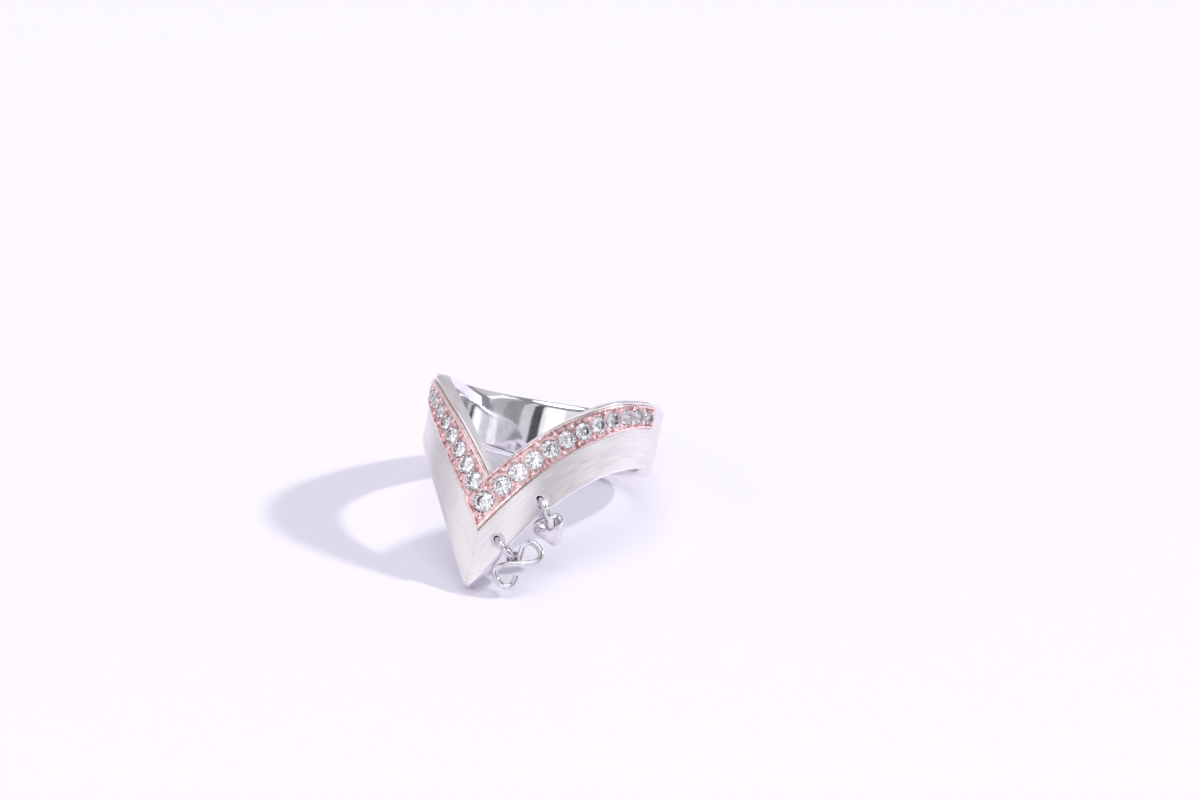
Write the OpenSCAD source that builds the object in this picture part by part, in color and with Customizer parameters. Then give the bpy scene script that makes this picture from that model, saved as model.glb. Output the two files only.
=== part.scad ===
// Chevron ring: a silver band whose front dips in a deep V, with a raised rose strip of
// small brilliants along the V and two charms on jump rings at the low edge of one arm.
// It is built upright about its finger axis, then laid down to rest on the point of the V
// and on the low edge of its back, with the table at height zero.

/* [Band] */
// Inside diameter, about US size 7
bore_d = 17.3; // [15:0.1:21]
// Thickness of the band's wall
wall = 1.35; // [1.2:0.05:1.8]
// Angle by which each front arm turns back from straight across
arm_turn = 9; // [5:0.5:16]
// Rounding of the low outer edge
low_round_r = 0.25; // [0.1:0.01:0.35]
// Rounding of the top outer edge
top_round_r = 0.1; // [0.05:0.01:0.15]
// Bevel of the inner edges
inner_bevel = 0.12; // [0.08:0.01:0.2]
// How much wider the hollow has grown at the point of the V
relief = 0.05; // [0.02:0.01:0.07]

/* [Chevron] */
// Height of the notch of the V above its point
notch_h = 9.5; // [8:0.1:11]
// Height of the top edge where the right arm has levelled out
side_top_h = 18.6; // [17:0.1:20]
// Height of the top edge where the left arm has levelled out
left_side_top_h = 18.3; // [17:0.1:20]
// Height of the low edge where the arms have levelled out
side_low_h = 13.2; // [12:0.1:14]
// Height of the top edge at the back
back_top_h = 19; // [17:0.1:20]
// Height of the low edge at the back
back_low_h = 13.3; // [11:0.1:14]
// Way along the face from the V to where the top edge is level
top_run = 15.2; // [13:0.1:17]
// Way along the face from the V to where the low edge is level
low_run = 18; // [15:0.1:20]
// How fast the top edge levels out
top_sweep = 2.2; // [1.8:0.05:2.6]
// How fast the low edge levels out
low_sweep = 2.65; // [2.2:0.05:3]
// Rounding of the point of the V
point_round_r = 0.65; // [0.2:0.05:1]

/* [Stone strip] */
// Width of the strip at the V
strip_w_v = 2.77; // [2.5:0.01:3]
// Width of the strip at its ends
strip_w_end = 1.7; // [1.6:0.01:2]
// Width of the strip at the end of the left arm
left_strip_w_end = 1.3; // [1.2:0.01:2]
// How late along the arm the strip narrows
strip_taper = 1.6; // [1:0.1:2.5]
// Silver rim left above the strip at the V
strip_rim = 0.2; // [0.15:0.01:0.4]
// Silver rim left above the strip at its ends
strip_rim_end = 0.32; // [0.15:0.01:0.5]
// Silver rim left above the strip at the end of the left arm
left_strip_rim_end = 0.5; // [0.15:0.01:0.9]
// How far the strip's floor stands above the band at the V
strip_rise = 0.3; // [0.15:0.01:0.4]
// How far the strip's floor stands above the band at its ends
strip_rise_end = 0.03; // [0.02:0.01:0.4]
// How far the strip is let into the band
strip_sink = 0.65; // [0.62:0.01:0.7]
// Width of the bright rail along each edge
rail_w = 0.22; // [0.15:0.01:0.28]
// Height of the rails above the floor
rail_h = 0.16; // [0.08:0.01:0.25]
// Radius of the grains raised between the stones
grain_r = 0.15; // [0.1:0.01:0.18]
// Gap between the strip and its channel
strip_gap = 0.04; // [0.03:0.005:0.06]

/* [Stones] */
// Stones on each arm
arm_stones = 11; // [5:1:12]
// Diameter of the stone at the point of the V
apex_stone_d = 1.8; // [1.5:0.01:1.9]
// Diameter of the first stone on each arm
first_stone_d = 1.62; // [1.3:0.01:1.7]
// Diameter of the last stone on each arm
last_stone_d = 1.27; // [1.0:0.01:1.3]
// Diameter of the last stone on the left arm
left_last_stone_d = 0.9; // [0.8:0.01:1.3]
// Gap from stone to stone
stone_gap = 0.1; // [0.08:0.01:0.2]
// Gap between a stone and its seat
seat_gap = 0.03; // [0.02:0.005:0.04]
// Way down from the notch to the apex stone's centre
apex_stone_drop = 2.5; // [2.3:0.05:2.8]
// Way along the face from the V to the first stone of an arm
first_stone_at = 1.24; // [1.15:0.01:1.5]

/* [Charms] */
// Diameter of the two drilled holes
hole_d = 1.25; // [1.1:0.05:1.35]
// Distance from a hole's centre to the low edge
hole_in = 0.95; // [0.9:0.01:1.1]
// Way along the face to the hole of the infinity charm
infinity_at = 1.8; // [1.7:0.05:2.4]
// Way along the face to the hole of the heart charm
heart_at = 4.65; // [4.5:0.05:5.6]
// Wire of the jump rings
jump_wire_d = 0.6; // [0.4:0.01:0.64]
// Diameter of the jump rings, to the middle of the wire
jump_d = 2.4; // [2.36:0.01:2.5]
// Wire of the charms' bails
bail_wire_d = 0.32; // [0.3:0.01:0.36]
// Length of the infinity, to the middle of its wire
infinity_l = 4.3; // [3.6:0.1:4.5]
// Width of the infinity's loops, to the middle of the wire
infinity_w = 1.8; // [1.5:0.05:2]
// Wire of the infinity
infinity_wire_d = 0.5; // [0.42:0.01:0.52]
// Width of the heart
heart_w = 2.75; // [2.5:0.05:2.8]
// Height of the heart
heart_h = 2.9; // [2.6:0.05:3.1]
// Thickness of the heart
heart_t = 1.6; // [1.4:0.05:1.8]
// Radius of the heart's tip
heart_tip_r = 0.4; // [0.24:0.01:0.5]
// Direction in which the heart's width runs, from straight across the ring
heart_turn = 31; // [20:1:40]
// Lean of the heart to one side as it hangs
heart_lean = 18; // [16:1:22]

/* [Hidden] */
bore_r = bore_d / 2;
outer_r = bore_r + wall;
per_radian = 180 / PI;

// The plan is a circle whose front is drawn out to a blunt point by two flat arms.
flat_run = outer_r * tan(arm_turn);
half_run = flat_run + outer_r * (180 - arm_turn) / per_radian;
tiny = 0.02;

// Direction round the finger of a place at a way u along the outer face
function turn_at(u) =
    abs(u) < flat_run
    ? sign(u) * (arm_turn - atan((flat_run - abs(u)) / outer_r))
    : sign(u) * (arm_turn + (abs(u) - flat_run) / outer_r * per_radian);
// Direction in which the face looks there
function facing_at(u) = abs(u) < flat_run ? sign(u) * arm_turn : turn_at(u);
function polar(a, r, z) = [r * sin(a), -r * cos(a), z];
// A point of the face, or one that stands out from it by n
function on_face(u, z, n = 0) =
    let (a = turn_at(u), off = max(arm_turn - abs(a), 0))
    polar(a, (outer_r + n) / cos(off), z);
function on_bore(u, z, r) = polar(turn_at(u), r, z);

// The edges rise from the V as a power curve, then run level to the back.
function risen(s, sweep) = 1 - pow(1 - min(s, 1), sweep);
function eased(s) = (1 + cos(180 * min(max(s, 0), 1))) / 2;
function edge_h(u, start, side, back, run, sweep) =
    u < run
    ? start + (side - start) * risen(u / run, sweep)
    : back + (side - back) * eased((u - run) / (half_run - run));
function top_h(u) = edge_h(
    abs(u), notch_h, u < 0 ? left_side_top_h : side_top_h, back_top_h, top_run, top_sweep);
function blunt(u) = sqrt(u * u + point_round_r * point_round_r) - point_round_r;
function low_h(u) = edge_h(blunt(u), 0, side_low_h, back_low_h, low_run, low_sweep);
function slope_of_top(u) = atan((top_h(u + (u < 0 ? -tiny : tiny)) - top_h(u)) / tiny);
function slope_of_low(u) = atan((low_h(abs(u) + tiny) - low_h(abs(u))) / tiny);

// The strip follows the top edge and narrows towards its ends.
function strip_w(u) =
    let (last = u < 0 ? left_strip_w_end : strip_w_end)
    last + (strip_w_v - last) * (1 - pow(strip_share(u), strip_taper));
function strip_share(u) = min(abs(u) / top_run, 1);
function rim_w(u) =
    strip_rim + ((u < 0 ? left_strip_rim_end : strip_rim_end) - strip_rim) * strip_share(u);
function rise_n(u) = strip_rise + (strip_rise_end - strip_rise) * strip_share(u);
function strip_top(u) = top_h(u) - rim_w(u) / cos(slope_of_top(u));
function strip_low(u) = strip_top(u) - strip_w(u) / cos(slope_of_top(u));
function strip_mid(u) = (strip_top(u) + strip_low(u)) / 2;

// Way along the strip's middle line, as pairs of [length from the first stone, u]
trace_step = 0.25;
trace_count = ceil((top_run + low_run) / 2 / trace_step);
function step_length(u) = norm([trace_step, strip_mid(u + trace_step) - strip_mid(u)]);
function traced(u, s, left) =
    left == 0
    ? [[s, u]]
    : concat([[s, u]], traced(u + trace_step, s + step_length(u), left - 1));
trace = traced(first_stone_at, 0, trace_count);

// Stones of an arm, graded evenly from the first to the last
function arm_stone_d(i) = first_stone_d + (last_stone_d - first_stone_d) * i / (arm_stones - 1);
function arm_stone_s(i) =
    i == 0 ? 0 : arm_stone_s(i - 1) + (arm_stone_d(i - 1) + arm_stone_d(i)) / 2 + stone_gap;
function arm_stone_u(i) = lookup(arm_stone_s(i), trace);
last_stone_s = arm_stone_s(arm_stones - 1);
strip_end = lookup(last_stone_s + last_stone_d / 2 + stone_gap + rail_w, trace);

// Stone numbers run from the end of the left arm, over the V, to the end of the right arm.
stone_count = 2 * arm_stones + 1;
apex_stone_h = notch_h - apex_stone_drop;
function stone_name(k) = str("stone_", k < 10 ? "0" : "", k);
function stone_arm(k) = sign(k - arm_stones - 1);
function stone_place(k) = abs(k - arm_stones - 1) - 1;
// The left arm's stones sit opposite the right arm's and grade down faster.
function left_stone_d(i) =
    first_stone_d + (left_last_stone_d - first_stone_d) * i / (arm_stones - 1);
function stone_d(k) =
    stone_arm(k) == 0 ? apex_stone_d
    : stone_arm(k) < 0 ? left_stone_d(stone_place(k)) : arm_stone_d(stone_place(k));
function stone_u(k) = stone_arm(k) * (stone_arm(k) == 0 ? 0 : arm_stone_u(stone_place(k)));
function stone_h(k) = stone_arm(k) == 0 ? apex_stone_h : strip_mid(stone_u(k));
// The apex stone bridges the bend of the V, so it sits a little lower.
function stone_n(k) =
    rise_n(stone_u(k)) - (stone_arm(k) == 0 ? apex_stone_d / 2 * tan(arm_turn) : 0);

// How the ring lies: it leans back until the inner edge of the point and the low outer edge
// of the back touch the table together.
edge_soft = low_round_r * (1 - cos(45));
front_touch = [0, -(bore_r + inner_bevel), 0];
back_touch = [0, outer_r - edge_soft, back_low_h + edge_soft];
lean_back = atan2(back_touch[2] - front_touch[2], back_touch[1] - front_touch[1]);
function laid(p) = [
    p[0],
    p[1] * cos(lean_back) + p[2] * sin(lean_back),
    p[2] * cos(lean_back) - p[1] * sin(lean_back)];
front_reach = laid(on_face(0, low_round_r))[1];
back_reach = laid([0, outer_r, back_top_h - top_round_r])[1];
table = [0, (front_reach + back_reach) / 2, laid(front_touch)[2]];

module at_rest() {
    translate(-table) rotate([-lean_back, 0, 0]) children();
}

// A closed skin over a row of sections, each the same number of points
function ring_faces(rows, cols, closed) = [
    for (i = [0:rows - (closed ? 1 : 2)], j = [0:cols - 1])
        let (a = i * cols, b = (i + 1) % rows * cols, k = (j + 1) % cols)
        each [[a + j, a + k, b + k], [a + j, b + k, b + j]]];
function end_caps(rows, cols) = [
    [for (j = [cols - 1:-1:0]) j],
    [for (j = [0:cols - 1]) (rows - 1) * cols + j]];
module skin(sections, closed) {
    rows = len(sections);
    cols = len(sections[0]);
    faces = concat(ring_faces(rows, cols, closed), closed ? [] : end_caps(rows, cols));
    polyhedron([for (s = sections) each s], faces, convexity = 8);
}

// Stations along half the face: fine along the channel, and twice at its end
fine_step = 0.52;
coarse_step = 1.2;
crowding = 1.2;
channel_end = strip_end + strip_gap;
fine_count = ceil(channel_end / fine_step);
function fine_station(i) = sign(i) * channel_end * pow(abs(i) / fine_count, crowding);
coarse_count = ceil((half_run - channel_end) / coarse_step);
half_stations = concat(
    [for (i = [1:fine_count]) fine_station(i)],
    [for (i = [0:coarse_count - 1])
        channel_end + tiny + (half_run - channel_end - tiny) * i / coarse_count]);
band_stations = concat(
    [0],
    half_stations,
    [half_run],
    [for (i = [len(half_stations) - 1:-1:0]) -half_stations[i]]);

inner_over = 0.5;
function channel_depth(u) = abs(u) < channel_end + tiny / 2 ? strip_sink + strip_gap : 0;
function band_section(u) =
    let (
        low = low_h(u),
        top = top_h(u),
        gap = strip_gap / cos(slope_of_top(u)),
        from = strip_low(u) - gap,
        to = strip_top(u) + gap,
        depth = channel_depth(u),
        skim = top_round_r * (1 - cos(45)))
    [
        on_bore(u, low + inner_bevel + inner_over, bore_r - inner_over),
        on_bore(u, low, bore_r + inner_bevel),
        on_face(u, low, -low_round_r),
        on_face(u, low + edge_soft, -edge_soft),
        on_face(u, low + low_round_r),
        on_face(u, from),
        on_face(u, from, -depth),
        on_face(u, to, -depth),
        on_face(u, to),
        on_face(u, top - top_round_r),
        on_face(u, top - skim, -skim),
        on_face(u, top, -top_round_r),
        on_bore(u, top, bore_r + inner_bevel),
        on_bore(u, top - inner_bevel - inner_over, bore_r - inner_over)];

// Charm holes: each is [way along the face, turn of its jump ring about the hole]
infinity_hole = [infinity_at, -6];
heart_hole = [heart_at, -17];
function hole_h(u) = low_h(u) + hole_in / cos(slope_of_low(u));
// Directions at a hole: out of the face, away from the low edge, and along it
function out_dir(u) = polar(facing_at(u), 1, 0);
function along_dir(hole) =
    let (a = facing_at(hole[0]), s = slope_of_low(hole[0]) + hole[1])
    [cos(a) * cos(s), sin(a) * cos(s), sin(s)];
function off_dir(hole) = cross(along_dir(hole), out_dir(hole[0]));
function columns(x, y, z, p) = [
    [x[0], y[0], z[0], p[0]],
    [x[1], y[1], z[1], p[1]],
    [x[2], y[2], z[2], p[2]],
    [0, 0, 0, 1]];

// The jump ring's wire runs through the top of its hole and round the low edge.
jump_r = jump_d / 2;
jump_rise = 0.25;
function jump_centre(hole) =
    on_face(hole[0], hole_h(hole[0]))
    - out_dir(hole[0]) * (wall * 0.54)
    + off_dir(hole) * (jump_r - jump_rise);
// Place on the jump ring, at an angle from straight out towards away from the edge
function jump_radial(hole, a) = out_dir(hole[0]) * cos(a) + off_dir(hole) * sin(a);
function jump_tangent(hole, a) = off_dir(hole) * cos(a) - out_dir(hole[0]) * sin(a);
function jump_point(hole, a) = jump_centre(hole) + jump_radial(hole, a) * jump_r;

module hole_drill(hole) {
    p = on_face(hole[0], hole_h(hole[0]));
    multmatrix(columns(along_dir(hole), -off_dir(hole), out_dir(hole[0]), p))
        cylinder(d = hole_d, h = 4 * wall, center = true, $fn = 48);
}

module torus(mid_r, wire, sides = 48, wire_sides = 24) {
    rotate_extrude($fn = sides)
        translate([mid_r, 0]) circle(d = wire, $fn = wire_sides);
}

// Round above the notch; below it the hollow opens out by the relief, for the arms of the V.
full_from = notch_h - 0.3;
module finger_hollow() {
    beyond = 1;
    slant = relief / full_from;
    rotate_extrude($fn = 128) polygon([
        [0, -beyond],
        [bore_r + relief + slant * beyond, -beyond],
        [bore_r, full_from],
        [bore_r, back_top_h + side_top_h],
        [0, back_top_h + side_top_h]]);
}

module band() {
    color("silver") at_rest() difference() {
        skin([for (u = band_stations) band_section(u)], true);
        finger_hollow();
        hole_drill(infinity_hole);
        hole_drill(heart_hole);
    }
}

// The strip: a floor between two rails, closed at each end by a rail across it
end_rail = strip_end - rail_w;
strip_stations = concat(
    [-strip_end, -end_rail, -(end_rail - tiny)],
    [for (i = [1 - fine_count:fine_count - 1]) fine_station(i)],
    [end_rail - tiny, end_rail, strip_end]);
function floor_n(u) = rise_n(u) + (abs(u) > end_rail - tiny / 2 ? rail_h : 0);
function strip_section(u) =
    let (
        tilt = cos(slope_of_top(u)),
        low = strip_low(u),
        top = strip_top(u),
        rail = rail_w / tilt,
        crown = rise_n(u) + rail_h,
        bevel = rail_w / 4)
    [
        on_face(u, top, -strip_sink),
        on_face(u, low, -strip_sink),
        on_face(u, low, crown - bevel),
        on_face(u, low + bevel / tilt, crown),
        on_face(u, low + rail, crown),
        on_face(u, low + rail + bevel / tilt, floor_n(u)),
        on_face(u, top - rail - bevel / tilt, floor_n(u)),
        on_face(u, top - rail, crown),
        on_face(u, top - bevel / tilt, crown),
        on_face(u, top, crown - bevel)];

// Proportions of a round brilliant, as shares of its girdle radius
table_share = 0.56;
star_share = 0.8;
crown_share = 0.3;
girdle_share = 0.04;
pavilion_share = 0.78;
lower_share = 0.22;
eighth = 45;

function stone_frame(k) =
    let (a = stone_arm(k) == 0 ? 0 : facing_at(stone_u(k)), out = polar(a, 1, 0))
    columns([cos(a), sin(a), 0], [0, 0, 1], out, on_face(stone_u(k), stone_h(k), stone_n(k)));

function rim_points(count, r, z, start) = [
    for (i = [0:count - 1]) let (a = start + i * 360 / count) [r * cos(a), r * sin(a), z]];

module brilliant(d) {
    r = d / 2;
    half_girdle = girdle_share * r / 2;
    crown = crown_share * r;
    pavilion = pavilion_share * r;
    star_z = half_girdle
        + crown * (1 - (star_share * cos(eighth / 2) - table_share) / (1 - table_share));
    lower_z = -half_girdle - pavilion * (1 - lower_share * cos(eighth / 2));
    points = concat(
        rim_points(8, table_share * r, half_girdle + crown, 0),
        rim_points(8, star_share * r, star_z, eighth / 2),
        rim_points(16, r, half_girdle, 0),
        rim_points(16, r, -half_girdle, 0),
        rim_points(8, lower_share * r, lower_z, eighth / 2),
        [[0, 0, -half_girdle - pavilion]]);
    star = 8;
    upper = 16;
    lower = 32;
    deep = 48;
    culet = 56;
    faces = concat(
        [[for (i = [7:-1:0]) i]],
        [for (i = [0:7]) let (n = (i + 1) % 8) [i, n, star + i]],
        [for (i = [0:7]) let (p = (i + 7) % 8) [i, star + i, upper + 2 * i, star + p]],
        [for (i = [0:7]) [star + i, upper + 2 * i + 1, upper + 2 * i]],
        [for (i = [0:7]) [star + i, upper + (2 * i + 2) % 16, upper + 2 * i + 1]],
        [for (i = [0:15]) let (n = (i + 1) % 16) [upper + i, upper + n, lower + n, lower + i]],
        [for (i = [0:7]) [deep + i, lower + 2 * i, lower + 2 * i + 1]],
        [for (i = [0:7]) [deep + i, lower + 2 * i + 1, lower + (2 * i + 2) % 16]],
        [for (i = [0:7]) let (p = (i + 7) % 8) [culet, deep + p, lower + 2 * i, deep + i]]);
    polyhedron(points, faces);
}

module stone(k) {
    color("azure") at_rest() multmatrix(stone_frame(k)) brilliant(stone_d(k));
}

// A seat is the stone's lower half, a little larger, open to the front.
module seat(k) {
    r = stone_d(k) / 2;
    half_girdle = girdle_share * r / 2;
    depth = half_girdle + pavilion_share * r + seat_gap;
    multmatrix(stone_frame(k)) hull() {
        translate([0, 0, -half_girdle])
            cylinder(r = r + seat_gap, h = strip_rise + rail_h, $fn = 16);
        translate([0, 0, -depth]) cylinder(r = seat_gap, h = seat_gap, $fn = 16);
    }
}

module grain(u, z) {
    translate(on_face(u, z, rise_n(u))) sphere(grain_r, $fn = 8);
}

// Two grains between neighbours on an arm, close to the rails
module gap_grains(arm, i) {
    s = arm_stone_s(i) + arm_stone_d(i) / 2 + stone_gap / 2;
    u = lookup(s, trace);
    tilt = slope_of_top(arm * u);
    reach = strip_w(arm * u) / 2 - rail_w - grain_r;
    for (side = [-1, 1])
        grain(
            arm * (u - side * reach * sin(tilt)),
            strip_mid(arm * u) + side * reach * cos(tilt));
}

module pave_strip() {
    apex_clear = apex_stone_d / 2 + grain_r + stone_gap / 2;
    color("rosybrown") at_rest() difference() {
        union() {
            skin([for (u = strip_stations) strip_section(u)], false);
            for (arm = [-1, 1], i = [0:arm_stones - 2]) gap_grains(arm, i);
            for (side = [-1, 1]) grain(0, apex_stone_h + side * apex_clear);
        }
        for (k = [1:stone_count]) seat(k);
    }
}

module jump_place(hole) {
    multmatrix(columns(out_dir(hole[0]), off_dir(hole), along_dir(hole), jump_centre(hole)))
        children();
}
module jump_ring(hole) {
    color("gainsboro") at_rest() jump_place(hole) torus(jump_r, jump_wire_d);
}
module jump_ring_infinity() { jump_ring(infinity_hole); }
module jump_ring_heart() { jump_ring(heart_hole); }

// What encloses a jump ring's wire has some play all round.
bail_play = 0.06;
bail_r = jump_wire_d / 2 + bail_play + bail_wire_d / 2;

// The infinity's wire crosses over itself at the middle and ends just short of closing.
infinity_rings = 48;
infinity_open_angle = 20;
infinity_lift = infinity_wire_d * 0.52;
wire_sides = 6;
function infinity_point(t) = [
    infinity_l / 2 * cos(t),
    -infinity_w / 2 * sin(2 * t),
    infinity_lift * sin(t)];
function wire_ring(t) =
    let (
        p = infinity_point(t),
        ahead = infinity_point(t + 1) - infinity_point(t - 1),
        way = ahead / norm(ahead),
        side = cross([0, 0, 1], way) / norm(cross([0, 0, 1], way)),
        up = cross(way, side))
    [for (j = [0:wire_sides - 1])
        let (a = j * 360 / wire_sides)
        p + infinity_wire_d / 2 * (side * cos(a) - up * sin(a))];

infinity_hang_angle = 60;
module infinity_charm() {
    hole = infinity_hole;
    radial = jump_radial(hole, infinity_hang_angle);
    hold = jump_point(hole, infinity_hang_angle);
    centre = hold + radial * (bail_r + infinity_wire_d * 0.58);
    first = 270;
    span = 360 - infinity_open_angle;
    color("gainsboro") at_rest() union() {
        multmatrix(columns(along_dir(hole), -off_dir(hole), out_dir(hole[0]), centre))
            skin([for (i = [0:infinity_rings]) wire_ring(first + span * i / infinity_rings)], false);
        multmatrix(columns(radial, along_dir(hole), -jump_tangent(hole, infinity_hang_angle), hold))
            torus(bail_r, bail_wire_d, 12, 6);
    }
}

// The heart is two puffed lobes drawn down to one tip, drilled from front to back below the
// cleft. It hangs plumb from the lowest place of its jump ring, which runs through the drilling.
heart_bridge = 0.12;
function fall(v) = -laid(v)[2];
module heart_charm() {
    low_angle = atan2(fall(off_dir(heart_hole)), fall(out_dir(heart_hole[0])));
    hold = laid(jump_point(heart_hole, low_angle)) - table;
    lobe_r = heart_w * 0.29;
    lobe_x = heart_w / 2 - lobe_r;
    cleft = sqrt(lobe_r * lobe_r - lobe_x * lobe_x);
    drop = cleft - heart_bridge - jump_wire_d / 2 - bail_play;
    color("gainsboro") difference() {
        translate(hold) rotate([90, 0, heart_turn]) rotate(heart_lean)
            translate([0, -drop, 0]) for (side = [-1, 1]) hull() {
                translate([side * lobe_x, 0, 0])
                    scale([1, 1, heart_t / 2 / lobe_r]) sphere(lobe_r, $fn = 20);
                translate([0, lobe_r - heart_h + heart_tip_r, 0]) sphere(heart_tip_r, $fn = 16);
            }
        at_rest() jump_place(heart_hole) torus(jump_r, jump_wire_d + 2 * bail_play);
    }
}

band();
pave_strip();
for (k = [1:stone_count])
    stone(k);
jump_ring_infinity();
infinity_charm();
jump_ring_heart();
heart_charm();
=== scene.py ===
import math

import bmesh
import bpy
import numpy as np
from mathutils import Matrix, Vector


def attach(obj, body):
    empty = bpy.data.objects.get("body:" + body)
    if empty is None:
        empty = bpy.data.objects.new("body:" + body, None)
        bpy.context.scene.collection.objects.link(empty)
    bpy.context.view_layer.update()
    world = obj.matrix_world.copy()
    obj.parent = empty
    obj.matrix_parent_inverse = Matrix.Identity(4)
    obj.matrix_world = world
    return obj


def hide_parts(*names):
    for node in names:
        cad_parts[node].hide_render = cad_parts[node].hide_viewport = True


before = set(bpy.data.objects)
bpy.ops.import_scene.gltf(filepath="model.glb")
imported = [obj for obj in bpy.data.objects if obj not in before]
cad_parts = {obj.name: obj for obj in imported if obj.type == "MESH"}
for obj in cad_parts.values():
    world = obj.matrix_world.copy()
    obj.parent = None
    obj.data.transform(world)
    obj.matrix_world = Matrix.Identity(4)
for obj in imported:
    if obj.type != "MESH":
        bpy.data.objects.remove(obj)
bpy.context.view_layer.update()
mm = 0.001
# Points closer than this, in m, are made one
mergeWithin = 1e-8

# The ring's own sizes, in mm, the same as the solids'. It is drawn upright about its finger
# axis and then laid back on the table.
band = {
    "boreRadius": 8.65, "outerRadius": 10.0, "armTurn": 9.0,
    "lowRound": 0.25, "topRound": 0.1, "innerBevel": 0.12,
    # The rounding of the inner edges at the back (deep, tall), where it starts and its run
    "backSoft": (0.3, 0.7), "lowSoftFrom": 9.0, "topSoftFrom": 13.0, "softRun": 7.0,
    "notchHeight": 9.5, "sideTop": 18.6, "leftSideTop": 18.3, "sideLow": 13.2,
    "backTop": 19.0, "backLow": 13.3, "relief": 0.05, "fullFrom": 9.2,
    "topRun": 15.2, "lowRun": 18.0, "topSweep": 2.2, "lowSweep": 2.65, "pointRound": 0.65,
    "fineStep": 0.12, "coarseStep": 0.3, "endStep": 0.02, "nearlyZero": 0.01, "slopeStep": 0.02,
    # Points in the low, the top and the soft inner rounds, and the parts that a face is cut in
    "arcPoints": (7, 5, 6), "faceParts": 4, "brushWidth": 5.5,
}
strip = {
    "widthAtV": 2.77, "widthAtEnd": 1.7, "leftWidthAtEnd": 1.3, "taper": 1.6,
    "rim": 0.2, "rimAtEnd": 0.32, "leftRimAtEnd": 0.5,
    "rise": 0.3, "riseAtEnd": 0.03, "sink": 0.65, "railWidth": 0.22, "railHeight": 0.16,
    "gap": 0.04,
    # How far in the last sections stand at the ends
    "floorStep": 0.02, "endStep": 0.05,
    # The rails' round as a share of their width, and its middle and inner slant as shares of it
    "roundShare": 0.25, "roundMiddle": 0.3, "railSlant": 0.4,
}
stones = {
    "perArm": 11, "apexSize": 1.8, "firstSize": 1.62, "lastSize": 1.27, "leftLastSize": 0.9,
    "gap": 0.1, "seatGap": 0.03, "seatSides": 32, "seatReach": 0.6,
    "apexHeight": 7.0, "firstAt": 1.24, "pavilion": 0.78, "girdle": 0.04,
    # How far the middle line is followed for their places, and in what steps
    "traceTo": 17.5, "traceBy": 0.01,
}

half = (band["outerRadius"] * math.tan(math.radians(band["armTurn"]))
        + band["outerRadius"] * math.radians(180 - band["armTurn"]))
flat = band["outerRadius"] * math.tan(math.radians(band["armTurn"]))


def turnAt(u):
    a = np.abs(u)
    onArm = band["armTurn"] - np.degrees(np.arctan((flat - a) / band["outerRadius"]))
    onCurve = band["armTurn"] + np.degrees((a - flat) / band["outerRadius"])
    return np.sign(u) * np.where(a < flat, onArm, onCurve)


def facingAt(u):
    return np.where(np.abs(u) < flat, np.sign(u) * band["armTurn"], turnAt(u))


def polar(angle, radius, z):
    a = np.radians(angle)
    return np.stack(np.broadcast_arrays(radius * np.sin(a), -radius * np.cos(a), z), -1)


def onFace(u, z, n=0.0):
    a = turnAt(u)
    off = np.radians(np.maximum(band["armTurn"] - np.abs(a), 0))
    return polar(a, (band["outerRadius"] + n) / np.cos(off), z)


def onBore(u, z, radius):
    opened = band["relief"] * np.maximum(0, 1 - np.asarray(z) / band["fullFrom"])
    return polar(turnAt(u), np.maximum(radius, band["boreRadius"] + opened), z)


def edgeHeight(a, start, side, back, run, sweep):
    rising = start + (side - start) * (1 - (1 - np.minimum(a / run, 1)) ** sweep)
    share = np.clip((a - run) / (half - run), 0, 1)
    return np.where(a < run, rising, back + (side - back) * (1 + np.cos(np.pi * share)) / 2)


def topHeight(u):
    side = np.where(np.asarray(u) < 0, band["leftSideTop"], band["sideTop"])
    return edgeHeight(np.abs(u), band["notchHeight"], side, band["backTop"],
                      band["topRun"], band["topSweep"])


def lowHeight(u):
    blunt = np.sqrt(u * u + band["pointRound"] ** 2) - band["pointRound"]
    return edgeHeight(blunt, 0, band["sideLow"], band["backLow"], band["lowRun"], band["lowSweep"])


def slopeOf(height, u):
    step = band["slopeStep"]
    ahead = u + np.where(np.asarray(u) < 0, -step, step)
    return np.arctan((height(ahead) - height(u)) / step)


def stripShare(u):
    return np.minimum(np.abs(u) / band["topRun"], 1)


def stripWidth(u):
    last = np.where(np.asarray(u) < 0, strip["leftWidthAtEnd"], strip["widthAtEnd"])
    return last + (strip["widthAtV"] - last) * (1 - stripShare(u) ** strip["taper"])


def riseAt(u):
    return strip["rise"] + (strip["riseAtEnd"] - strip["rise"]) * stripShare(u)


def stripTop(u):
    last = np.where(np.asarray(u) < 0, strip["leftRimAtEnd"], strip["rimAtEnd"])
    rim = strip["rim"] + (last - strip["rim"]) * stripShare(u)
    return topHeight(u) - rim / np.cos(slopeOf(topHeight, u))


def stripLow(u):
    return stripTop(u) - stripWidth(u) / np.cos(slopeOf(topHeight, u))


def stripMiddle(u):
    return (stripTop(u) + stripLow(u)) / 2


# How it lies: the inner edge of the point and the low outer edge of the back touch the table.
edgeSoft = band["lowRound"] * (1 - math.cos(math.pi / 4))
frontTouch = band["boreRadius"] + band["innerBevel"]
leanBack = math.atan2(band["backLow"] + edgeSoft, band["outerRadius"] - edgeSoft + frontTouch)


def turned(points):
    p = np.asarray(points, float)
    c, s = math.cos(leanBack), math.sin(leanBack)
    return np.stack([p[..., 0], p[..., 1] * c + p[..., 2] * s, p[..., 2] * c - p[..., 1] * s], -1)


frontReach = turned(onFace(np.array(0.0), band["lowRound"]))[1]
backReach = turned([0, band["outerRadius"], band["backTop"] - band["topRound"]])[1]
table = np.array([0, (frontReach + backReach) / 2, turned([0, -frontTouch, 0])[2]])


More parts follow.
